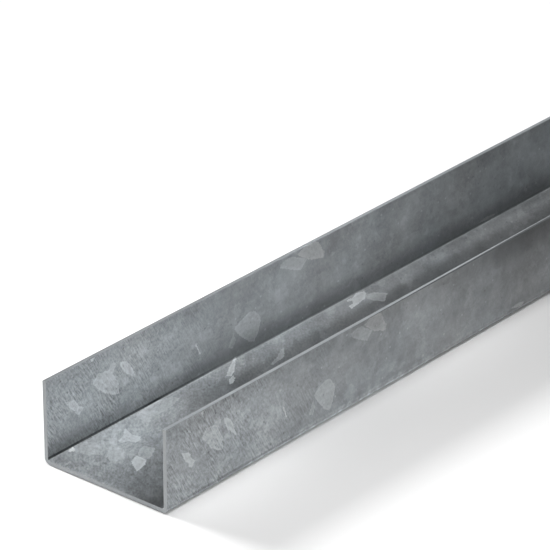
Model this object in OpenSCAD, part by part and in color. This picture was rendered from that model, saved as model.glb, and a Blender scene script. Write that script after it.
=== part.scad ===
// Galvanized steel U-channel, lying on its web with the open side up.
// It is one strip of sheet: flat across the web, round two bends and up two flanges, sawn square to length.
// The origin is at the middle of the underside of the web, with the length along Y. All sizes are in millimetres.

/* [Section] */
// Width over the outsides of the two flanges
channel_w = 70; // [40:1:150]
// Height of the flanges, from the underside of the web
flange_h = 40; // [20:1:100]
// Thickness of the sheet
sheet_t = 2; // [1.2:0.1:4]
// Inside radius of the two bends
bend_r = 0.8; // [0.4:0.1:4]

/* [Length] */
// Length that the piece is sawn to
channel_l = 1000; // [100:10:3000]

/* [Edges] */
// Round on the slit edges along the tops of the flanges
slit_edge_r = 0.3; // [0.1:0.05:0.5]
// Break that deburring leaves round both sawn ends
saw_break = 0.2; // [0.1:0.05:0.5]

/* [Hidden] */
$fn = 96;
// Outside radius of the bends, so that the wall keeps its thickness round them
bend_outer_r = bend_r + sheet_t;
// Flat width of the web between the bends
web_flat_w = channel_w - 2 * bend_outer_r;
// Flat height of each flange above its bend
flange_flat_h = flange_h - bend_outer_r;
// Side of the square bar, held on its corner, that cuts a break
break_cut_w = saw_break * sqrt(2);
// How far a cutter runs past the faces that it cuts
overrun = sheet_t;

// The sheet cut along its length: thickness across, length upwards, with its four sawn arrises broken
module sheet_profile() {
    polygon([
        [saw_break, 0],
        [sheet_t - saw_break, 0],
        [sheet_t, saw_break],
        [sheet_t, channel_l - saw_break],
        [sheet_t - saw_break, channel_l],
        [saw_break, channel_l],
        [0, channel_l - saw_break],
        [0, saw_break]
    ]);
}

// A flat stretch of the sheet: thickness along +X, the given run along +Y, length along +Z
module flat_stretch(run) {
    translate([0, run, 0])
        rotate([90, 0, 0])
            linear_extrude(run)
                sheet_profile();
}

// What rounding takes off an arris at the origin whose metal lies towards -X and -Y
module arris_waste(r) {
    translate([-r, -r])
        difference() {
            square(r + overrun);
            circle(r);
        }
}

// The web, which the channel lies on
module web() {
    translate([web_flat_w / 2, 0, 0])
        rotate([0, 0, 90])
            flat_stretch(web_flat_w);
}

// A quarter turn of the sheet, from the web up into the right-hand flange
module bend() {
    translate([web_flat_w / 2, bend_outer_r, 0])
        rotate([0, 0, -90])
            rotate_extrude(angle = 90)
                translate([bend_r, 0])
                    sheet_profile();
}

// The right-hand flange: its slit top edge is rounded on both sides and broken at both sawn ends
module flange() {
    difference() {
        translate([channel_w / 2 - sheet_t, bend_outer_r, 0])
            flat_stretch(flange_flat_h);
        translate([channel_w / 2 - sheet_t / 2, flange_h, 0]) {
            for (side = [0, 1])
                mirror([side, 0, 0])
                    translate([sheet_t / 2, 0, -overrun])
                        linear_extrude(channel_l + 2 * overrun)
                            arris_waste(slit_edge_r);
            for (end = [0, channel_l])
                translate([0, 0, end])
                    rotate([45, 0, 0])
                        cube([sheet_t + 2 * overrun, break_cut_w, break_cut_w], center = true);
        }
    }
}

// The whole channel, drawn standing on its end and then laid on its web
module u_channel() {
    color("lightslategray")
        rotate([90, 0, 0])
            translate([0, 0, -channel_l / 2]) {
                web();
                for (side = [0, 1])
                    mirror([side, 0, 0]) {
                        bend();
                        flange();
                    }
            }
}

u_channel();
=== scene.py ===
import bmesh
import bpy
import math
from mathutils import Matrix, Vector


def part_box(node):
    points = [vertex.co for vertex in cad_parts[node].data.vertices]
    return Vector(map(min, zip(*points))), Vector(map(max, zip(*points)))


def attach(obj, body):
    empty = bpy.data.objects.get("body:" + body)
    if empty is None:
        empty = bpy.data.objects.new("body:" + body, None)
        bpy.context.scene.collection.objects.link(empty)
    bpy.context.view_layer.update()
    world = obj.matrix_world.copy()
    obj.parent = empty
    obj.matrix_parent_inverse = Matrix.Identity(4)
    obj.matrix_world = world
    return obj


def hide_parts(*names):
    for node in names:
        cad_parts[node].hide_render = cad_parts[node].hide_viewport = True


# Galvanized steel U-channel, folded from one strip of sheet and lying on its web
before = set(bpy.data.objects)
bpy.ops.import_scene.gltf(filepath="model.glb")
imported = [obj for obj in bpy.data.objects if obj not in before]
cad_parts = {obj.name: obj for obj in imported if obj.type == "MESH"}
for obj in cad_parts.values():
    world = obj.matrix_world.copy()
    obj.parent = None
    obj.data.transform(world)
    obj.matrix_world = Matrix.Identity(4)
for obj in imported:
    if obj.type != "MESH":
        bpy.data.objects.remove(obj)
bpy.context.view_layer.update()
print("frame loaded, nodes:", sorted(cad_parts))

near = 1e-6  # how close counts as the same place, in metres


# Selecting and editing

def startPiece():
    if bpy.context.object and bpy.context.object.mode != "OBJECT":
        bpy.ops.object.mode_set(mode="OBJECT")
    bpy.ops.object.select_all(action="DESELECT")


def pickEdges(piece, test):
    # selects the edges that pass the test on the edge and its middle, and nothing else
    bpy.ops.mesh.select_mode(type="EDGE")
    bpy.ops.mesh.select_all(action="DESELECT")
    work = bmesh.from_edit_mesh(piece.data)
    for edge in work.edges:
        middle = (edge.verts[0].co + edge.verts[1].co) / 2
        edge.select_set(test(edge, middle))
    work.select_flush_mode()
    bmesh.update_edit_mesh(piece.data)


def applyModifier(piece, kind, **values):
    modifier = piece.modifiers.new(kind.lower(), kind)
    for name, value in values.items():
        setattr(modifier, name, value)
    bpy.ops.object.modifier_apply(modifier=modifier.name)


# The channel, in metres

channelSizes = {
    "sheetThick": 0.002,
    "bendInside": 0.0008,   # inside radius of both bends
    "slitRound": 0.0003,    # rounds along the tops of the flanges
    "sawBreak": 0.0002,     # what deburring took off the sawn ends
    "lengthSteps": 100,
    "webSteps": 12,
    "bendSteps": 10,
    "flangeSteps": 8,
    "roundSteps": 3,
    "smoothAngle": 40.0,    # degrees
    "sawnFacing": 0.9,      # how squarely a sawn end looks along, before its edges are broken
    "cutFacing": 0.6,       # how squarely a sawn end looks along, or a slit top up, after that
    "outsideStart": 0.2,    # where the outside skin begins on the sheet map
}
bendAngle = math.pi / 2
bendOutside = channelSizes["bendInside"] + channelSizes["sheetThick"]
insideBend = channelSizes["bendInside"] * bendAngle
outsideBend = bendOutside * bendAngle
outsideStart = channelSizes["outsideStart"]
boxLow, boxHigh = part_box("u_channel")
webHalf = (boxHigh.x - boxLow.x) / 2 - bendOutside
flangeFlat = boxHigh.z - boxLow.z - bendOutside


def foldStrip(sizes):
    # the outside skin: a flat web, spun round both bends and extruded up both flanges
    startPiece()
    bpy.ops.mesh.primitive_grid_add(
        x_subdivisions=sizes["webSteps"], y_subdivisions=sizes["lengthSteps"], size=1.0)
    strip = bpy.context.object
    strip.name = "uChannel"
    strip.data.name = "uChannel"
    strip.dimensions = (2 * webHalf, boxHigh.y - boxLow.y, 0)
    bpy.ops.object.transform_apply(location=False, rotation=False, scale=True)
    bpy.ops.object.mode_set(mode="EDIT")
    for side in (1, -1):
        pickEdges(strip, lambda edge, middle: abs(middle.x - side * webHalf) < near)
        bpy.ops.mesh.spin(
            steps=sizes["bendSteps"], angle=bendAngle,
            center=(side * webHalf, 0, bendOutside), axis=(0, side, 0))
        pickEdges(strip, lambda edge, middle: abs(middle.x - side * boxHigh.x) < near)
        for step in range(sizes["flangeSteps"]):
            bpy.ops.mesh.extrude_region_move(
                TRANSFORM_OT_translate={"value": (0, 0, flangeFlat / sizes["flangeSteps"])})
    bpy.ops.mesh.select_all(action="SELECT")
    bpy.ops.mesh.remove_doubles(threshold=near)
    bpy.ops.mesh.normals_make_consistent(inside=False)
    work = bmesh.from_edit_mesh(strip.data)
    underside = min(work.faces, key=lambda face: face.calc_center_median().length)
    if underside.normal.z > 0:
        bpy.ops.mesh.flip_normals()
    bpy.ops.object.mode_set(mode="OBJECT")
    strip.location = (0, (boxLow.y + boxHigh.y) / 2, boxLow.z)
    bpy.ops.object.transform_apply(location=True, rotation=False, scale=False)
    return strip


def breakEdges(channel, sizes):
    # rounds the slit tops of the flanges, then takes the burr off both sawn ends
    def isSlit(edge, middle):
        runsAlong = abs(edge.verts[0].co.y - edge.verts[1].co.y) > near
        return runsAlong and abs(middle.z - boxHigh.z) < near

    def isSawn(edge, middle):
        atEnd = min(abs(middle.y - boxLow.y), abs(middle.y - boxHigh.y)) < near
        facesEnd = [abs(face.normal.y) > sizes["sawnFacing"] for face in edge.link_faces]
        return atEnd and True in facesEnd and False in facesEnd

    bpy.ops.object.mode_set(mode="EDIT")
    pickEdges(channel, isSlit)
    bpy.ops.mesh.bevel(offset=sizes["slitRound"], segments=sizes["roundSteps"], affect="EDGES")
    pickEdges(channel, isSawn)
    bpy.ops.mesh.bevel(offset=sizes["sawBreak"], segments=sizes["roundSteps"], affect="EDGES")
    bpy.ops.mesh.select_all(action="SELECT")
    bpy.ops.mesh.remove_doubles(threshold=near)
    bpy.ops.mesh.normals_make_consistent(inside=False)
    bpy.ops.object.mode_set(mode="OBJECT")


def sheetDistance(place, bendRadius):
    # how far a point lies from the middle of the web, measured along the bent sheet
    across = abs(place.x)
    rise = place.z - boxLow.z
    if across <= webHalf:
        return across
    if rise <= bendOutside:
        return webHalf + bendRadius * math.atan2(across - webHalf, bendOutside - rise)
    return webHalf + bendRadius * bendAngle + rise - bendOutside


def mapSheet(channel, sizes):
    # lays the unbent sheet on a map in metres, along from the front end and across from a flange's top:
    # the left flange's for the inside skin, the right flange's for the outside skin
    sheetMap = channel.data.uv_layers.new(name="sheetMap")
    for face in channel.data.polygons:
        fromTrough = face.center - Vector((0, face.center.y, boxHigh.z))
        isOutside = fromTrough.dot(face.normal) > 0
        bendRadius = bendOutside if isOutside else sizes["bendInside"]
        halfStrip = webHalf + bendRadius * bendAngle + flangeFlat
        for loop in face.loop_indices:
            place = channel.data.vertices[channel.data.loops[loop].vertex_index].co
            run = math.copysign(sheetDistance(place, bendRadius), place.x)
            across = outsideStart + halfStrip - run if isOutside else halfStrip + run
            sheetMap.data[loop].uv = (place.y - boxLow.y, across)


def markCutFaces(channel, sizes):
    # the second and third material slots: sawn ends and slit tops
    for face in channel.data.polygons:
        isEnd = abs(face.normal.y) > sizes["cutFacing"]
        isTop = face.normal.z > sizes["cutFacing"] and face.center.z > boxHigh.z - sizes["slitRound"]
        face.material_index = 1 if isEnd else 2 if isTop else 0


def makeChannel():
    sizes = channelSizes
    channel = foldStrip(sizes)
    applyModifier(channel, "SOLIDIFY", thickness=sizes["sheetThick"], offset=-1.0,
                  use_even_offset=True, use_rim=True)
    breakEdges(channel, sizes)
    mapSheet(channel, sizes)
    bpy.ops.object.shade_smooth_by_angle(angle=math.radians(sizes["smoothAngle"]))
    applyModifier(channel, "WEIGHTED_NORMAL", keep_sharp=True)
    print("channel folded:", len(channel.data.polygons), "faces")
    return channel


# Building nodes

mixSockets = {"amount": 0, "first": 6, "second": 7, "result": 2}  # those of a node that mixes colours


def feed(tree, socket, value):
    if isinstance(value, bpy.types.NodeSocket):
        tree.links.new(value, socket)
    else:
        socket.default_value = value


def addNode(tree, kind, inputs, **settings):
    node = tree.nodes.new("ShaderNode" + kind)
    for name, value in settings.items():
        setattr(node, name, value)
    for name, value in inputs.items():
        feed(tree, node.inputs[name], value)
    return node


def calc(tree, operation, *values, clamp=False):
    node = addNode(tree, "Math", {}, operation=operation, use_clamp=clamp)
    for socket, value in zip(node.inputs, values):
        feed(tree, socket, value)
    return node.outputs["Value"]


def vectorCalc(tree, operation, *values):
    node = addNode(tree, "VectorMath", {}, operation=operation)
    for socket, value in zip(node.inputs, values):
        feed(tree, socket, value)
    return node.outputs["Value"] if operation in ("LENGTH", "DOT_PRODUCT") else node.outputs["Vector"]


def noise(tree, place, size, detail, roughness=0.5):
    # soft noise around zero, with features of about the given size in metres
    node = addNode(tree, "TexNoise", {
        "Vector": place, "Scale": 1 / size, "Detail": detail, "Roughness": roughness})
    return calc(tree, "MULTIPLY_ADD", node.outputs["Fac"], 2.0, -1.0)


def wander(tree, place, size, detail, roughness, reach):
    # shifts a place to and fro on the sheet by soft noise
    cloud = addNode(tree, "TexNoise", {
        "Vector": place, "Scale": 1 / size, "Detail": detail, "Roughness": roughness}).outputs["Color"]
    shift = vectorCalc(tree, "SUBTRACT", cloud, (0.5, 0.5, 0.5))
    shift = vectorCalc(tree, "MULTIPLY", shift, (reach, reach, 0))
    return vectorCalc(tree, "ADD", place, shift)


def turn(tree, place, axis, angle):
    node = addNode(tree, "VectorRotate", {"Vector": place, "Angle": angle}, rotation_type=axis)
    return node.outputs["Vector"]


def fade(tree, value, start, end):
    # 0 at start and 1 at end, with a smooth ramp between
    node = addNode(tree, "MapRange", {"Value": value, "From Min": start, "From Max": end},
                   interpolation_type="SMOOTHSTEP")
    return node.outputs["Result"]


def between(tree, amount, first, second):
    # the first number where the amount is 0, the second where it is 1
    return calc(tree, "MULTIPLY_ADD", amount, second - first, first)


def limit(tree, value):
    # keeps a value from 0 to 1
    return calc(tree, "MAXIMUM", value, 0.0, clamp=True)


def distanceFrom(tree, value, place):
    return calc(tree, "ABSOLUTE", calc(tree, "SUBTRACT", value, place))


def total(tree, first, *others):
    for value in others:
        first = calc(tree, "ADD", first, value)
    return first


def addShares(tree, start, *pairs):
    # start plus each value times its share
    for value, share in pairs:
        start = calc(tree, "MULTIPLY_ADD", value, share, start)
    return start


def mixMarks(tree, start, marks, shares):
    # start plus each named mark times its share
    return addShares(tree, start, *((marks[name], share) for name, share in shares.items()))


def mixColours(tree, amount, first, second):
    node = addNode(tree, "Mix", {}, data_type="RGBA")
    for name, value in (("amount", amount), ("first", first), ("second", second)):
        feed(tree, node.inputs[mixSockets[name]], value)
    return node.outputs[mixSockets["result"]]


def scaleColour(tree, colour, shade):
    node = addNode(tree, "VectorMath", {"Vector": colour, "Scale": shade}, operation="SCALE")
    return node.outputs["Vector"]


def startGroup(name, inputs, outputs):
    group = bpy.data.node_groups.new(name, "ShaderNodeTree")
    for label, kind in inputs.items():
        group.interface.new_socket(label, in_out="INPUT", socket_type="NodeSocket" + kind)
    for label in outputs:
        group.interface.new_socket(label, in_out="OUTPUT", socket_type="NodeSocketFloat")
    entry = group.nodes.new("NodeGroupInput").outputs
    result = group.nodes.new("NodeGroupOutput").inputs
    return group, entry, result


def placeGroup(tree, group, inputs):
    node = tree.nodes.new("ShaderNodeGroup")
    node.node_tree = group
    for name, value in inputs.items():
        feed(tree, node.inputs[name], value)
    return node.outputs


def startFinish(name, metallic):
    finish = bpy.data.materials.new(name)
    finish.use_nodes = True
    shader = finish.node_tree.nodes["Principled BSDF"]
    shader.inputs["Metallic"].default_value = metallic
    return finish, finish.node_tree, shader


def endFinish(tree, shader, colour, roughness, height, bump):
    strength, depth = bump
    relief = addNode(tree, "Bump", {"Height": height, "Strength": strength, "Distance": depth})
    tree.links.new(colour, shader.inputs["Base Color"])
    tree.links.new(roughness, shader.inputs["Roughness"])
    tree.links.new(relief.outputs["Normal"], shader.inputs["Normal"])


# Effects that the finishes share: clouds and patches have a size in metres, a detail and a roughness

mottleLook = {
    "wideClouds": (0.030, 3.0, 0.55),
    "closeClouds": (0.007, 3.0, 0.6),
    "closeShare": 0.7,
    "grain": (0.0018, 2.0, 0.8),
    "blooms": (0.012, 5.0, 0.68),
    "bloomEdge": (0.06, 0.22),
    "crust": (0.0042, 4.0, 0.7),
    "crustEdge": (0.02, 0.14),
    "dots": 0.0045,          # how far apart pits and flecks may lie
    "dotEdge": (0.15, 0.08), # their radius, as a share of that
    "pitDraw": 0.95,         # higher draws have a pit
    "fleckDraw": 0.93,
}
mottleMarks = ("clouds", "grain", "blooms", "crust", "pits", "flecks")


def makeMottleGroup():
    # clouds and grain of dull zinc around zero, and pale blooms, crust, pits and flecks from 0 to 1
    look = mottleLook
    group, entry, result = startGroup("zincMottle", {"place": "Vector"}, mottleMarks)
    place = entry["place"]
    wide = noise(group, place, *look["wideClouds"])
    close = noise(group, place, *look["closeClouds"])
    dots = addNode(group, "TexVoronoi", {"Vector": place, "Scale": 1 / look["dots"]},
                   voronoi_dimensions="2D").outputs
    dot = fade(group, dots["Distance"], *look["dotEdge"])
    draws = addNode(group, "SeparateColor", {"Color": dots["Color"]}).outputs
    hasPit = calc(group, "GREATER_THAN", draws["Red"], look["pitDraw"])
    hasFleck = calc(group, "GREATER_THAN", draws["Green"], look["fleckDraw"])
    made = {
        "clouds": calc(group, "MULTIPLY_ADD", close, look["closeShare"], wide),
        "grain": noise(group, place, *look["grain"]),
        "blooms": fade(group, noise(group, place, *look["blooms"]), *look["bloomEdge"]),
        "crust": fade(group, noise(group, place, *look["crust"]), *look["crustEdge"]),
        "pits": calc(group, "MULTIPLY", dot, hasPit),
        "flecks": calc(group, "MULTIPLY", dot, hasFleck),
    }
    for name, value in made.items():
        group.links.new(value, result[name])
    return group


hairlineLook = {
    "waves": (0.012, 1.0, 0.5, 0.0012),  # what bends the lines, and how far
    "lines": (1.0, 2.0, 0.6),            # on the stretched place
    "patches": (0.018, 2.0, 0.5),
    "patchEdge": (-0.45, 0.25),
}


def makeHairlineGroup():
    # fine wavy lines in one direction, around zero, stronger in some places than in others
    look = hairlineLook
    group, entry, result = startGroup(
        "hairlines", {"place": "Vector", "turn": "Float", "stretch": "Vector"}, ("lines",))
    waving = wander(group, entry["place"], *look["waves"])
    turned = turn(group, waving, "Z_AXIS", calc(group, "MULTIPLY", entry["turn"], -1.0))
    stretched = vectorCalc(group, "DIVIDE", turned, entry["stretch"])
    lines = noise(group, stretched, *look["lines"])
    patches = fade(group, noise(group, entry["place"], *look["patches"]), *look["patchEdge"])
    group.links.new(calc(group, "MULTIPLY", lines, patches), result["lines"])
    return group


# Finish of the sheet: lengths in metres, runs from the front end, shares of the way from dark to pale

zincLook = {
    "darkZinc": (0.140, 0.150, 0.157, 1),
    "paleZinc": (0.457, 0.490, 0.512, 1),
    "flakeZinc": (0.594, 0.629, 0.647, 1),
    "scratchZinc": (0.60, 0.63, 0.64, 1),
    "glintZinc": (0.70, 0.73, 0.74, 1),
    "metallic": 0.35,
    "tone": 0.50,             # where plain sheet lies between the dark and the pale
    "toneShares": {
        "fadingClouds": 0.28, "fadingGrain": 0.56, "fadingPits": -0.45, "flecks": 0.35, "lines": 1.05,
        "rolled": 0.06, "crystals": 0.11, "fineGrain": 0.42},
    "bloomShares": (0.14, 0.26),   # on the flanges and on the web
    "crustShares": (0.06, 0.20),   # elsewhere and on the web near the front end
    "frontRun": (0.13, 0.04),      # near the front end, with a ramp to the sheet beyond
    "fading": {                    # marks that change beyond it, and how strong they are there
        "fadingClouds": ("clouds", 1.5), "fadingGrain": ("grain", 0.38), "fadingPits": ("pits", 0.45)},
    "farLines": 0.12,
    "webLines": 0.10,              # how much of the lines is on the web
    "lineTurn": 60.0,              # degrees from the length
    "lineStretch": (0.0045, 0.0008, 1.0),
    "rollStretch": (0.040, 0.0009, 1.0),
    "webTurn": 40.0,               # the web's mottle is drawn out slantwise
    "webStretch": (0.5, 1.0, 1.0),
    "fineGrain": (0.0010, 1.0),    # only on the web: size and detail
    "fineRun": (0.24, 0.12),       # it is strongest up to here
    "farFineGrain": 0.4,
    "ragged": (0.0013, 2.0, 0.6, 0.0016),  # what roughens the edges of crystals and flakes, and how far
    "crystalSize": 0.010,
    "strayFlakes": 0.93,           # crystals above this draw are flakes, where none are laid out
    "strayStrength": 0.45,
    "strayRun": (0.36, 0.41),      # beyond the laid-out flakes
    "flakeEdge": 0.15,             # mm
    "flakeTone": 0.98,
    "flakeShares": {"clouds": 0.4, "grain": 0.9, "lines": 0.55, "fadingPits": -0.5},
    "fieldEdge": 4.0,              # mm
    "fieldTone": 0.60,
    "fieldShares": {"blooms": 0.6, "crust": 0.35, "grain": 0.5},
    "warmTint": (0.05, 0.0, -0.03),
    "warmClouds": (0.035, 1.0),
    "warmCloudShare": 0.6,
    "warmRun": (0.06, 0.25),       # the far part is slightly warmer
    "warmRunShare": 0.35,
    "roughness": 0.50,
    "roughShares": {"clouds": 0.08, "grain": 0.08, "flakes": -0.10},
    "heightShares": {"grain": 1.0, "lines": 0.8, "pits": -1.0},
    "bump": (0.3, 0.00002),
}

# Painted light and shade, and a darker front end on the web: how much darker (-) or paler (+), and from
# where to where
paintedShading = {
    # painted light and shade all over a face: paler on the flanges' inside, darker on the outside
    "flangeInside": 0.11,
    "webPale": -0.02,
    "flangeOutside": -0.19,
    # painted shade and a painted highlight up from the middle of the inside bends
    "cornerDirt": (-0.54, 0.0125, 0.002),
    "cornerShadeFoot": (-0.0003, 0.0002),
    "cornerShadeClouds": 0.5,               # how cloudy it is
    "cornerShadeLine": (-0.45, 0.0009, 0.0004),
    "cornerShadeLineUp": 0.0006,                # the painted shade line is measured from here
    "webEdge": (0.12, 0.0014, 0.0006),
    "webHighlightDown": 0.0010,                 # and the painted highlight's from here, below the middle
    # painted shade near the tops of the flanges' inside
    "insideTop": (-0.13, 0.022, 0.038),
    # painted shade and shadow of the right flange across from the middle of the web
    "webDirt": (-0.46, -0.010, 0.024),
    "webShadeLean": (0.38, 0.085),          # how fast, and how far from the front end, it spreads to the left
    "rightDirt": (-0.29, 0.013, 0.030),
    "webShadowStreak": (-0.22, -0.0262, -0.0190),
    "webShadowStreakEnd": (-0.0060, -0.0150),
    "shadeOnFlakes": 0.3,                   # how much of the web's painted shade is left on flakes
    # from the front end: the web darker right at it, the web paler far along as painted light, and the right
    # flange's outside darker far along as painted shade
    "frontDirt": (-0.10, 0.009, 0.001),
    "webFar": (0.15, 0.24, 0.34),
    "farOutside": (-0.20, 0.18, 0.26),
    # painted light, shade and highlight up from the tops of the outside bends
    "outsideTop": (-0.22, 0.022, 0.038),
    "farTopShade": (-0.20, 0.010, 0.034),
    "pushedFlange": (0.066, 0.022, 0.002),  # painted light from the floor: paler low on the flange
    "bendShadeLine": (-0.36, 0.0011, 0.0003),    # painted shade: a dark line beside each outer bend
    "rubbedBend": (0.70, -0.0003, -0.0008),
    "rubbedFoot": (0.41, 0.0018, 0.0004),
    "highlightTone": 0.5,
    "highlightShares": {"crust": 0.4, "blooms": 0.4},  # how patchy the painted highlight is
    "bendShare": 2 / 3,                    # the part of a bend above the ramp at its foot
}
# Where marks begin, are full, begin to fade and are faint, from the front end, and how faint that is
shadingRuns = {
    "cornerShadeLine": (-0.002, -0.001, 0.060, 0.130, 0.25),
    "bendShadeLine": (0.004, 0.022, 0.075, 0.115, 0.15),
    "paintedHighlight": (0.035, 0.085, 0.150, 0.200, 0.30),
    "farTopShade": (0.180, 0.240, 0.360, 0.500, 0.0),
    "webShadowStreak": (0.060, 0.110, 0.340, 0.460, 0.0),
}

# Pale flakes: strength, then corners in mm as (from the front end, across the face)
flangeFlakes = {
    "broadPlate": (0.47, (29, 12.6), (32.6, 9.2), (40, 10.2), (42, 12.6), (45.8, 18.4), (45.9, 24),
                   (42.6, 23.4), (36.8, 20.4), (32.4, 16.6)),
    "plateArm": (0.38, (39.4, 10.6), (40.7, 8.2), (42.8, 7.4), (44.6, 9.4), (43.2, 11.6), (42, 12.8)),
    "wedge": (0.62, (46.9, 9), (51.2, 10.7), (53.3, 12.8), (54.9, 15.4), (57, 20.6), (54.2, 18.7),
              (50, 15.6), (47.4, 11.6)),
    "chipHead": (0.65, (12.1, 14.9), (17.9, 16), (20.4, 19.9), (19.5, 22.5), (15.6, 19.9), (13.6, 17.5)),
    "chipFoot": (0.55, (18.5, 19.6), (20.4, 19.9), (23.2, 21.8), (20.2, 24.4), (17.6, 22.4)),
    "rimFleck": (0.85, (27.9, 0.7), (30.8, 0.6), (29.2, 2.2)),
    "faintCloud": (0.18, (73, 21), (78, 20), (83, 25), (83, 30), (76, 28)),
    "roundPlate": (0.45, (122.5, 21.9), (127.4, 20.4), (130.9, 18.2), (137.3, 19), (141.2, 22.6),
                   (141.9, 25.8), (140, 31), (137.2, 34.5), (133.7, 33.4), (126.2, 26.6)),
    "roundTail": (0.30, (119, 30.8), (122.9, 24.8), (124.4, 28.8), (122.4, 32.4)),
    "nearPair": (0.40, (155.6, 2.9), (160.3, 1.5), (165.1, 1.9), (175, 6.9), (170.5, 10.8), (162.7, 7.8),
                 (156.8, 4.8)),
    "lowEdge": (0.50, (307, 36), (313, 35), (321, 36), (318, 38)),
}
warmFlakes = {
    "farPair": (0.42, (167.5, 2.1), (172.3, 0.4), (180.1, -0.2), (183.4, 1.3), (185.6, 5), (187.1, 10.5),
                (176.5, 7.8)),
    "farLobe": (0.36, (184.4, 4.1), (187.8, 7.9), (187.1, 10.5), (183.2, 9.1)),
}
webFlakes = {
    "platePeak": (0.66, (34.8, 11.4), (42.6, 6.1), (40.6, 12), (35.4, 15.6)),
    "plateLobe": (0.70, (35.1, 14.8), (39.9, 11.4), (41.2, 16.3), (39, 18.3), (36, 18.3)),
    "plateFoot": (0.70, (31.5, 13.6), (32.2, 11.5), (37.4, 9.8), (35.6, 15.1)),
    "crossedChip": (0.95, (17.1, 35.6), (22.1, 27.9), (27.6, 26.1), (27.5, 32.1), (23.7, 34.4),
                    (20.6, 35.2)),
    "besideChip": (0.42, (26.9, 30), (28.1, 26.3), (31.8, 23.7), (36.1, 23), (37.6, 27.9), (35.1, 30),
                   (28.9, 32.3)),
    "frontFleck": (0.45, (2.1, 8), (4.8, 7.6), (5.5, 8.2), (2.5, 9.3)),
    "faintRound": (0.24, (13.4, 6.3), (17.3, 1.7), (23, 1.4), (24.7, 4.7), (23.3, 8.9), (18.4, 12.4),
                   (14.6, 10.1)),
    "swirl": (0.30, (15.5, 22.7), (18.6, 17.2), (23.2, 13.4), (27.4, 14.9), (28.7, 17.6), (24.7, 22.2),
              (18.5, 26.3)),
    "faintChip": (0.28, (10.1, 18), (13.2, 17.6), (14.5, 18.6), (12.2, 20.5), (10, 19.6)),
    "cornerPlate": (0.30, (58, 1), (69, 0), (78, 2), (79, 6), (67, 9), (58, 8)),
    "ribbonFar": (0.85, (107.9, 7.4), (115.1, 3.7), (121.7, -0.5), (125.6, -0.3), (118, 5.9),
                  (113.8, 7.9), (110.7, 10.2)),
    "ribbonNear": (0.80, (102.1, 12.8), (106.3, 11.3), (108.5, 9.1), (110.7, 10.2), (109.3, 12.4),
                   (106, 14.2), (102.8, 14.6)),
    "farBright": (0.84, (201.4, 6.4), (205.5, 2.4), (211, 0.2), (214.9, 1.6), (214.6, 3.4), (209.4, 7),
                  (203.3, 7.9)),
    "farTail": (0.92, (197.2, 8.8), (198.3, 6.1), (202.3, 5.7), (203.3, 7.9)),
    "farHead": (0.85, (201.4, 2.9), (202.5, 1.5), (205.8, 1.7), (204.5, 3.9)),
    "farPale": (0.48, (209.9, 7.6), (212.5, 4.8), (217.1, 5.9), (220.8, 11.4), (213, 15.8), (210.5, 11.1)),
    "middleFaint": (0.40, (136.1, 14.2), (144.3, 9.9), (146, 10.1), (140.3, 15.4), (135.8, 16.5)),
    "middleStem": (0.30, (129.8, 15.6), (137.6, 13.5), (137.3, 15.7), (130.4, 17.1)),
}
# Paler fields with soft edges
flangeFields = {
    "palePatch": (0.26, (48, 10), (60, 2), (86, 3), (95, 12), (95, 30), (82, 37), (58, 36), (48, 24)),
    "lowPatch": (0.22, (40, 29), (48, 26), (66, 27), (72, 33), (62, 38), (44, 38)),
}
webFields = {
    "frontPatch": (0.36, (14, 4), (24, 0), (70, -2), (76, 4), (58, 12), (40, 26), (24, 29)),
}
webGlints = {
    "star": (1.00, (11.2, 1.8), (12.6, 1.0), (15.6, -0.1), (14.6, 2.4), (13, 3.2)),
    "starArm": (0.90, (11.2, 0.8), (13.6, 0.6), (14.2, 2.8), (12.6, 2.6)),
}
flangeScratches = {
    "scratch": (1.00, (96.6, 20.2), (97.2, 20.0), (100.2, 26.0), (99.6, 26.2)),
}
outlineLook = {
    "rim": (-1.5, -0.3),     # mm outside the outline
    "middleTone": 0.82,
    "rimTone": 1.07,
}
outsideSqueeze = 0.785       # the right flange's outside has the same flakes, closer together
millimetres = 1000.0         # to the metre

# Where the faces lie across the sheet map
insideMiddle = flangeFlat + insideBend + webHalf
insideCorner = insideMiddle - webHalf - channelSizes["bendInside"]  # where web and left flange would meet
rightMiddle = 2 * insideMiddle - flangeFlat / 2
outsideMiddle = outsideStart + flangeFlat + outsideBend + webHalf


def outlineMark(tree, spot, corners, softness):
    # about 1 inside an outline and most at its rim, for a spot (along, across, 1)
    # with that 1, the distance outside one side is a dot product
    farthest = None
    for (alongA, acrossA), (alongB, acrossB) in zip(corners, corners[1:] + corners[:1]):
        outward = Vector((acrossB - acrossA, alongA - alongB, 0)).normalized()
        outward.z = -(outward.x * alongA + outward.y * acrossA)
        outside = vectorCalc(tree, "DOT_PRODUCT", spot, outward)
        farthest = calc(tree, "MAXIMUM", farthest, outside) if farthest else outside
    body = fade(tree, farthest, softness, -softness)
    rim = fade(tree, farthest, *outlineLook["rim"])
    tone = between(tree, rim, outlineLook["middleTone"], outlineLook["rimTone"])
    return calc(tree, "MULTIPLY", body, tone)


def strongestMark(tree, spot, outlines, softness):
    strongest = None
    for strength, *corners in outlines.values():
        mark = calc(tree, "MULTIPLY", outlineMark(tree, spot, corners, softness), strength)
        strongest = calc(tree, "MAXIMUM", strongest, mark) if strongest else mark
    return strongest


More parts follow.
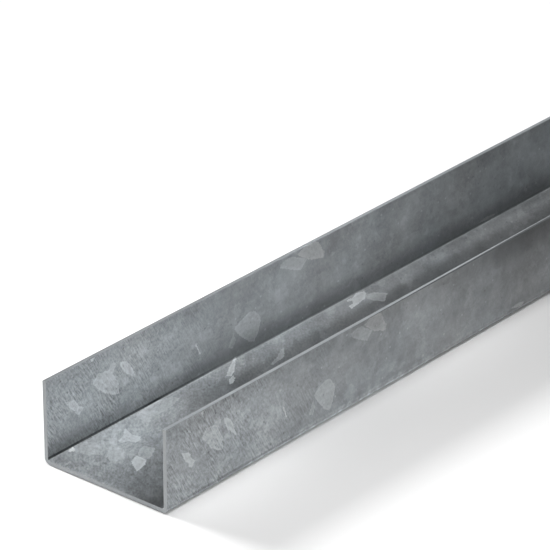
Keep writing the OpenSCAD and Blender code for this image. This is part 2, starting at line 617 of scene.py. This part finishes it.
def readSheet(tree):
    # where a point lies on the unbent sheet, and on which of its faces
    place = addNode(tree, "UVMap", {}, uv_map="sheetMap").outputs["UV"]
    across = addNode(tree, "SeparateXYZ", {"Vector": place}).outputs["Y"]
    ragged = wander(tree, place, *zincLook["ragged"])
    fromEnd, raggedAcross, unused = addNode(tree, "SeparateXYZ", {"Vector": ragged}).outputs
    isOutside = calc(tree, "GREATER_THAN", across, outsideStart - near)
    return {
        "place": place,
        "across": across,
        "ragged": ragged,
        "raggedAcross": raggedAcross,
        "fromEnd": fromEnd,
        "nearFront": fade(tree, fromEnd, *zincLook["frontRun"]),
        "isOutside": isOutside,
        "isInside": calc(tree, "SUBTRACT", 1.0, isOutside),
        "onWeb": calc(tree, "COMPARE", across, insideMiddle, webHalf),
    }


def drawCrystals(tree, sheet):
    # crystals with straight, slightly ragged edges, each with its own random draws
    crystals = addNode(tree, "TexVoronoi", {
        "Vector": sheet["ragged"], "Scale": 1 / zincLook["crystalSize"]}, voronoi_dimensions="2D")
    return addNode(tree, "SeparateColor", {"Color": crystals.outputs["Color"]}).outputs


def spotOnFace(tree, along, across):
    # a place in mm, with the 1 that outlines need
    return addNode(tree, "CombineXYZ", {
        "X": calc(tree, "MULTIPLY", along, millimetres),
        "Y": calc(tree, "MULTIPLY", across, millimetres), "Z": 1.0}).outputs["Vector"]


def layFlakes(tree, sheet):
    # the flakes, fields, scratches and glints that are laid out
    fromEnd = sheet["fromEnd"]
    isOutside = sheet["isOutside"]
    flakeEdge = zincLook["flakeEdge"]
    fieldEdge = zincLook["fieldEdge"]
    squeeze = between(tree, isOutside, 1.0, 1 / outsideSqueeze)
    flangeAcross = calc(tree, "MULTIPLY_ADD", isOutside, -outsideStart, sheet["raggedAcross"])
    flangeSpot = spotOnFace(tree, calc(tree, "MULTIPLY", fromEnd, squeeze), flangeAcross)
    webSpot = spotOnFace(tree, fromEnd, calc(tree, "SUBTRACT", sheet["raggedAcross"], insideCorner))
    flakes = calc(tree, "MAXIMUM", strongestMark(tree, flangeSpot, flangeFlakes, flakeEdge),
                  strongestMark(tree, webSpot, webFlakes, flakeEdge))
    warm = strongestMark(tree, flangeSpot, warmFlakes, flakeEdge)
    webField = calc(tree, "MULTIPLY", strongestMark(tree, webSpot, webFields, fieldEdge), sheet["onWeb"])
    flangeField = strongestMark(tree, flangeSpot, flangeFields, fieldEdge)
    return {
        "flakes": calc(tree, "MAXIMUM", flakes, warm),
        "warmFlakes": warm,
        "fields": calc(tree, "MAXIMUM", webField, flangeField),
        "scratches": strongestMark(tree, flangeSpot, flangeScratches, flakeEdge),
        "glints": strongestMark(tree, webSpot, webGlints, flakeEdge),
    }


def strewFlakes(tree, sheet, draws):
    # flakes at random where none are laid out: far along, inside the right flange, underneath and behind
    look = zincLook
    rightInside = calc(tree, "COMPARE", sheet["across"], rightMiddle, flangeFlat / 2)
    otherOutside = calc(tree, "GREATER_THAN", sheet["across"], outsideStart + flangeFlat)
    farAlong = fade(tree, sheet["fromEnd"], *look["strayRun"])
    hidden = calc(tree, "MAXIMUM", calc(tree, "MAXIMUM", rightInside, otherOutside), farAlong)
    strewn = calc(tree, "MULTIPLY", fade(tree, draws["Green"], look["strayFlakes"], 1.0), hidden)
    return calc(tree, "MULTIPLY", strewn, look["strayStrength"])


def spreadMottle(tree, sheet, draws, mottle, hairlines):
    # the dull sheet's mottle, mark by mark
    look = zincLook
    place = sheet["place"]
    onWeb = sheet["onWeb"]
    slanted = turn(tree, place, "Z_AXIS", math.radians(look["webTurn"]))
    slanted = vectorCalc(tree, "MULTIPLY", slanted, look["webStretch"])
    drawnOut = vectorCalc(tree, "MULTIPLY_ADD", vectorCalc(tree, "SUBTRACT", slanted, place), onWeb, place)
    spots = placeGroup(tree, mottle, {"place": drawnOut})
    marks = {name: spots[name] for name in mottleMarks}
    for name, (mark, left) in look["fading"].items():
        marks[name] = calc(tree, "MULTIPLY", marks[mark], between(tree, sheet["nearFront"], left, 1.0))

    lines = placeGroup(tree, hairlines, {
        "place": place, "turn": math.radians(look["lineTurn"]), "stretch": look["lineStretch"]})["lines"]
    lines = calc(tree, "MULTIPLY", lines, between(tree, onWeb, 1.0, look["webLines"]))
    marks["lines"] = calc(tree, "MULTIPLY", lines, between(tree, sheet["nearFront"], look["farLines"], 1.0))
    marks["rolled"] = placeGroup(tree, hairlines, {
        "place": place, "turn": 0.0, "stretch": look["rollStretch"]})["lines"]

    fineGrain = calc(tree, "MULTIPLY", noise(tree, drawnOut, *look["fineGrain"]), onWeb)
    fineRun = fade(tree, sheet["fromEnd"], *look["fineRun"])
    marks["fineGrain"] = calc(tree, "MULTIPLY", fineGrain, between(tree, fineRun, look["farFineGrain"], 1.0))
    marks["crystals"] = calc(tree, "SUBTRACT", draws["Red"], 0.5)  # around zero
    return marks


def paintSheet(tree, sheet, marks):
    # dull sheet first, then fields and flakes, which are mottled too, and a slight warmth
    look = zincLook
    webFront = calc(tree, "MULTIPLY", sheet["onWeb"], sheet["nearFront"])
    tone = mixMarks(tree, look["tone"], marks, look["toneShares"])
    tone = addShares(tree, tone, (marks["blooms"], between(tree, sheet["onWeb"], *look["bloomShares"])),
                     (marks["crust"], between(tree, webFront, *look["crustShares"])))
    colour = mixColours(tree, limit(tree, tone), look["darkZinc"], look["paleZinc"])
    fieldTone = mixMarks(tree, look["fieldTone"], marks, look["fieldShares"])
    field = calc(tree, "MULTIPLY", marks["fields"], fieldTone, clamp=True)
    colour = mixColours(tree, field, colour, look["flakeZinc"])
    flakeTone = mixMarks(tree, look["flakeTone"], marks, look["flakeShares"])
    flake = calc(tree, "MULTIPLY", marks["flakes"], flakeTone, clamp=True)
    colour = mixColours(tree, flake, colour, look["flakeZinc"])
    colour = mixColours(tree, marks["scratches"], colour, look["scratchZinc"])
    colour = mixColours(tree, marks["glints"], colour, look["glintZinc"])
    warmth = addShares(tree, marks["warmFlakes"],
                       (noise(tree, sheet["place"], *look["warmClouds"]), look["warmCloudShare"]),
                       (fade(tree, sheet["fromEnd"], *look["warmRun"]), look["warmRunShare"]))
    tint = vectorCalc(tree, "MULTIPLY_ADD", warmth, look["warmTint"], (1, 1, 1))
    return vectorCalc(tree, "MULTIPLY", colour, tint)


def shadingRun(tree, sheet, name):
    # 1 along the stretch where a mark is full, less beyond it
    begin, full, fading, faint, left = shadingRuns[name]
    start = fade(tree, sheet["fromEnd"], begin, full)
    end = fade(tree, sheet["fromEnd"], faint, fading)
    return between(tree, calc(tree, "MULTIPLY", start, end), left, 1.0)


def shadingMark(tree, sheet, measure, name):
    amount, start, end = paintedShading[name]
    mark = calc(tree, "MULTIPLY", fade(tree, measure, start, end), amount)
    if name in shadingRuns:
        mark = calc(tree, "MULTIPLY", mark, shadingRun(tree, sheet, name))
    return mark


def paintInsideShading(tree, sheet, marks):
    shading = paintedShading
    fromEnd = sheet["fromEnd"]
    fromWeb = calc(tree, "SUBTRACT", sheet["across"], insideMiddle)
    rise = calc(tree, "SUBTRACT", calc(tree, "ABSOLUTE", fromWeb), webHalf + insideBend / 2)

    # painted shade in the corners, and a painted highlight at the web's edge
    cornerDirt = shadingMark(tree, sheet, rise, "cornerDirt")
    cornerDirt = calc(tree, "MULTIPLY", cornerDirt, fade(tree, rise, *shading["cornerShadeFoot"]))
    cloudy = addShares(tree, 1.0, (marks["clouds"], shading["cornerShadeClouds"]))
    cornerDirt = calc(tree, "MULTIPLY", cornerDirt, cloudy)
    cornerShadeLine = shadingMark(tree, sheet, distanceFrom(tree, rise, shading["cornerShadeLineUp"]), "cornerShadeLine")
    webEdge = shadingMark(tree, sheet, distanceFrom(tree, rise, -shading["webHighlightDown"]), "webEdge")

    # on the web: painted shade and shadow of the right flange, a darker front end, and painted light far
    # along
    lean, leanRun = shading["webShadeLean"]
    leaning = calc(tree, "MULTIPLY_ADD", calc(tree, "MINIMUM", fromEnd, leanRun), lean, fromWeb)
    streak = shadingMark(tree, sheet, fromWeb, "webShadowStreak")
    streak = calc(tree, "MULTIPLY", streak, fade(tree, fromWeb, *shading["webShadowStreakEnd"]))
    webDirt = total(tree, streak, shadingMark(tree, sheet, leaning, "webDirt"),
                    shadingMark(tree, sheet, fromWeb, "rightDirt"),
                    shadingMark(tree, sheet, fromEnd, "frontDirt"),
                    shadingMark(tree, sheet, fromEnd, "webFar"))
    webDirt = calc(tree, "MULTIPLY", webDirt, sheet["onWeb"])
    webDirt = calc(tree, "MULTIPLY", webDirt, between(tree, marks["flakes"], 1.0, shading["shadeOnFlakes"]))

    # painted light and shade over each face: paler on the flanges' inside
    base = between(tree, sheet["onWeb"], shading["flangeInside"], shading["webPale"])
    return total(tree, base, cornerDirt, cornerShadeLine, webEdge, webDirt,
                 shadingMark(tree, sheet, rise, "insideTop"))


def paintOutsideShading(tree, sheet, marks):
    shading = paintedShading
    fromMiddle = distanceFrom(tree, sheet["across"], outsideMiddle)
    rise = calc(tree, "SUBTRACT", fromMiddle, webHalf + outsideBend)
    onBend = fade(tree, rise, -outsideBend, -outsideBend * shading["bendShare"])
    bendShadeLine = shadingMark(tree, sheet, calc(tree, "ABSOLUTE", rise), "bendShadeLine")

    # painted highlight along the outer bends, patchy
    paintedHighlight = total(tree, shadingMark(tree, sheet, rise, "rubbedBend"),
                   shadingMark(tree, sheet, rise, "rubbedFoot"))
    patches = mixMarks(tree, shading["highlightTone"], marks, shading["highlightShares"])
    for part in (onBend, patches, shadingRun(tree, sheet, "paintedHighlight")):
        paintedHighlight = calc(tree, "MULTIPLY", paintedHighlight, part)
    bounceLight = calc(tree, "MULTIPLY", shadingMark(tree, sheet, rise, "pushedFlange"), onBend)

    # painted shade far along, only on the right flange
    onRight = calc(tree, "LESS_THAN", sheet["across"], outsideMiddle)
    far = total(tree, shadingMark(tree, sheet, sheet["fromEnd"], "farOutside"),
                shadingMark(tree, sheet, rise, "farTopShade"))
    far = calc(tree, "MULTIPLY", far, onRight)

    # painted shade all over the outside, with the painted marks above
    return total(tree, shading["flangeOutside"], bendShadeLine, paintedHighlight, bounceLight, far,
                 shadingMark(tree, sheet, rise, "outsideTop"))


def makeZinc(mottle, hairlines):
    look = zincLook
    zinc, tree, shader = startFinish("galvanizedSheet", look["metallic"])
    sheet = readSheet(tree)
    draws = drawCrystals(tree, sheet)
    marks = spreadMottle(tree, sheet, draws, mottle, hairlines)
    marks.update(layFlakes(tree, sheet))
    marks["flakes"] = calc(tree, "MAXIMUM", marks["flakes"], strewFlakes(tree, sheet, draws))
    colour = paintSheet(tree, sheet, marks)
    # painted light and shade on the inside and the outside scale the colour
    shade = addShares(tree, 1.0, (paintInsideShading(tree, sheet, marks), sheet["isInside"]),
                      (paintOutsideShading(tree, sheet, marks), sheet["isOutside"]))
    roughness = mixMarks(tree, look["roughness"], marks, look["roughShares"])
    height = mixMarks(tree, 0.0, marks, look["heightShares"])
    endFinish(tree, shader, scaleColour(tree, colour, shade), roughness, height, look["bump"])
    return zinc


# Finish of the sawn ends and slit tops

cutSteel = {
    "toneShares": {"grain": 0.25, "clouds": 0.2, "lines": 0.5},
    "metallic": 0.4,
    "roughness": 0.45,
    "roughShares": {"grain": 0.10, "lines": 0.10},
    "bump": (0.4, 0.00003),
}
cutLooks = {
    "sawnEnd": {
        "dark": (0.205, 0.216, 0.223, 1),
        "pale": (0.344, 0.361, 0.370, 1),
        "tone": 0.60,
        "layDown": 90.0,        # degrees round X that lay the face flat on the pattern
        "lineTurn": 68.0,
        "lineStretch": (0.012, 0.00025, 1.0),
    },
    "slitEdge": {
        "dark": (0.116, 0.1245, 0.130, 1),
        "pale": (0.234, 0.250, 0.260, 1),
        "tone": 0.55,
        "layDown": 0.0,
        "lineTurn": 90.0,
        "lineStretch": (0.040, 0.00025, 1.0),
        "burnish": (0.24, 0.0005, 0.0014),      # paler towards the trough, by distance from the outside
        "leftTopLight": (0.0, 0.45, 0.10, 0.26),    # painted light on each top: paler by so much at the front end and beyond, with a ramp
        "rightTopLight": (0.41, 0.72, 0.01, 0.12),
        "shadedOuterSide": (-1.25, 0.0003, -0.0002),  # painted shade: the right one's outer side darkens
        "outerShadeRun": (0.12, 0.26, 0.010),         # wider and wider along this stretch, and how fast
    },
}


def burnishAndShadeSlit(tree, colour, place, look):
    # the shear burnished the half of each slit top nearer the trough; painted light makes the tops paler,
    # and painted shade darkens the right one's outer side far along
    across, along, unused = addNode(tree, "SeparateXYZ", {"Vector": place}).outputs
    fromEnd = calc(tree, "SUBTRACT", along, boxLow.y)
    fromOutside = calc(tree, "SUBTRACT", boxHigh.x, calc(tree, "ABSOLUTE", across))
    amount, start, end = look["burnish"]
    burnish = calc(tree, "MULTIPLY", fade(tree, fromOutside, start, end), amount)
    sides = []
    for name in ("leftTopLight", "rightTopLight"):
        atEnd, beyond, start, end = look[name]
        sides.append(between(tree, fade(tree, fromEnd, start, end), atEnd, beyond))
    # painted shade on the right top's outer side, wider farther along
    start, end, speed = look["outerShadeRun"]
    run = calc(tree, "MINIMUM", calc(tree, "MAXIMUM", fromEnd, start), end)
    run = calc(tree, "SUBTRACT", run, start)
    amount, start, end = look["shadedOuterSide"]
    widening = calc(tree, "MULTIPLY_ADD", run, -speed, fromOutside)
    paintedOuterShade = calc(tree, "MULTIPLY", fade(tree, widening, start, end), amount)
    onRight = calc(tree, "GREATER_THAN", across, 0.0)
    onLeft = calc(tree, "SUBTRACT", 1.0, onRight)
    leftTopLight, rightTopLight = sides
    shade = addShares(tree, total(tree, 1.0, burnish), (onLeft, leftTopLight), (onRight, rightTopLight),
                      (onRight, paintedOuterShade))
    return scaleColour(tree, colour, shade)


def makeCutSteel(name, look, mottle, hairlines):
    steel, tree, shader = startFinish(name, cutSteel["metallic"])
    place = addNode(tree, "TexCoord", {}).outputs["Object"]
    flat = turn(tree, place, "X_AXIS", math.radians(look["layDown"]))
    spots = placeGroup(tree, mottle, {"place": flat})
    lines = placeGroup(tree, hairlines, {
        "place": flat, "turn": math.radians(look["lineTurn"]), "stretch": look["lineStretch"]})["lines"]
    marks = {"grain": spots["grain"], "clouds": spots["clouds"], "lines": lines}
    tone = mixMarks(tree, look["tone"], marks, cutSteel["toneShares"])
    colour = mixColours(tree, limit(tree, tone), look["dark"], look["pale"])
    if "burnish" in look:
        colour = burnishAndShadeSlit(tree, colour, place, look)
    roughness = mixMarks(tree, cutSteel["roughness"], marks, cutSteel["roughShares"])
    endFinish(tree, shader, colour, roughness, lines, cutSteel["bump"])
    return steel


# Floor, light and camera

floorLook = {
    "colour": (0.82, 0.82, 0.82, 1),
    "roughness": 0.9,
    "specular": 0.1,
    "wide": 30.0,
    "gap": 0.0002,
}


def makeFloor(look):
    startPiece()
    bpy.ops.mesh.primitive_plane_add(size=look["wide"], location=(0, 0, boxLow.z - look["gap"]))
    floor = bpy.context.object
    floor.name = "floor"
    paper = bpy.data.materials.new("paleFloor")
    paper.use_nodes = True
    shader = paper.node_tree.nodes["Principled BSDF"]
    shader.inputs["Base Color"].default_value = look["colour"]
    shader.inputs["Roughness"].default_value = look["roughness"]
    shader.inputs["Specular IOR Level"].default_value = look["specular"]
    floor.data.materials.append(paper)


# Soft lamps: which way round and how high they stand, how far off, how long and wide, how strong,
# how far their light spreads, and what they aim at from the foot of the front end
lamps = {
    "overheadLamp": {
        "turn": 90, "lift": 90, "away": 4.0, "long": 3.2, "wide": 1.6,
        "watts": 80, "spread": 180, "aim": (0, 0.5, 0)},
    "rightLamp": {
        "turn": 87, "lift": 20, "away": 0.35, "long": 0.1, "wide": 0.1,
        "watts": 0.384, "spread": 180, "aim": (0, 0.06, 0.02)},
    "frontLamp": {
        "turn": 5, "lift": 4, "away": 0.5, "long": 0.1, "wide": 0.1,
        "watts": 0.75, "spread": 180, "aim": (0, 0.01, 0.02)},
    "nearBeam": {
        "turn": 90, "lift": 46, "away": 0.16, "long": 0.06, "wide": 0.06,
        "watts": 0.0226, "spread": 80, "aim": (-0.033, 0.03, 0.022)},
    "troughStrip": {
        "turn": 90, "lift": 65, "away": 0.16, "long": 0.2, "wide": 0.05,
        "watts": 0.0164, "spread": 40, "aim": (-0.033, 0.10, 0.022)},
    "farBeam": {
        "turn": 90, "lift": 60, "away": 0.16, "long": 0.10, "wide": 0.06,
        "watts": 0.0200, "spread": 70, "aim": (-0.033, 0.20, 0.022)},
}
# The broad light from the left, even over the whole floor
sideLight = {
    "turn": 270,
    "lift": 28.5,
    "away": 4.0,
    "aim": (0, 0.5, 0),
    "strength": 4.0,
    "angle": 22.0,
}
frontFoot = Vector((0, boxLow.y, boxLow.z))


def lookingDirections(turned, lifted):
    around = math.radians(turned)
    above = math.radians(lifted)
    right = Vector((math.cos(around), math.sin(around), 0))
    back = Vector((math.sin(around) * math.cos(above), -math.cos(around) * math.cos(above), math.sin(above)))
    return right, back.cross(right), back


def standAt(thing, place, right, up, back):
    thing.matrix_world = Matrix.Translation(place) @ Matrix((right, up, back)).transposed().to_4x4()
    bpy.context.scene.collection.objects.link(thing)


def placeLight(name, light, values):
    lamp = bpy.data.objects.new(name, light)
    right, up, back = lookingDirections(values["turn"], values["lift"])
    standAt(lamp, frontFoot + Vector(values["aim"]) + back * values["away"], right, up, back)
    lamp.visible_camera = False


def makeLamp(name, values):
    light = bpy.data.lights.new(name, "AREA")
    light.shape = "ELLIPSE"
    light.size = values["long"]
    light.size_y = values["wide"]
    light.energy = values["watts"]
    light.spread = math.radians(values["spread"])
    placeLight(name, light, values)


def makeSideLight(values):
    light = bpy.data.lights.new("sideLight", "SUN")
    light.energy = values["strength"]
    light.angle = math.radians(values["angle"])
    placeLight("sideLight", light, values)


cameraView = {
    "turn": 39.795,         # degrees round from the front end
    "lift": 25.938,
    "lens": 236.33,         # mm
    "sensor": 36.0,
    "offset": (0.071956, 0.090499, 1.529666),  # right, up and back from the foot of the front end
    "nearest": 0.05,
    "farthest": 60.0,
}


def makeCamera(view):
    right, up, back = lookingDirections(view["turn"], view["lift"])
    across, above, behind = view["offset"]
    lens = bpy.data.cameras.new("camera")
    lens.lens = view["lens"]
    lens.sensor_width = view["sensor"]
    lens.clip_start = view["nearest"]
    lens.clip_end = view["farthest"]
    camera = bpy.data.objects.new("camera", lens)
    standAt(camera, frontFoot + right * across + up * above + back * behind, right, up, back)
    bpy.context.scene.camera = camera


roomLook = {
    "colour": (1, 1, 1, 1),
    "strength": 0.2,
}


def makeRoom(look):
    room = bpy.data.worlds.new("room")
    room.use_nodes = True
    background = room.node_tree.nodes["Background"]
    background.inputs["Color"].default_value = look["colour"]
    background.inputs["Strength"].default_value = look["strength"]
    bpy.context.scene.world = room
    bpy.context.scene.view_settings.view_transform = "Standard"


channel = makeChannel()
mottleGroup = makeMottleGroup()
hairlineGroup = makeHairlineGroup()
channel.data.materials.append(makeZinc(mottleGroup, hairlineGroup))
for name, look in cutLooks.items():
    channel.data.materials.append(makeCutSteel(name, look, mottleGroup, hairlineGroup))
markCutFaces(channel, channelSizes)
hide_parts("u_channel")
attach(channel, "root")
print("finishes made:", [slot.material.name for slot in channel.material_slots])

makeFloor(floorLook)
for name, values in lamps.items():
    makeLamp(name, values)
makeSideLight(sideLight)
makeRoom(roomLook)
makeCamera(cameraView)
print("stage set")
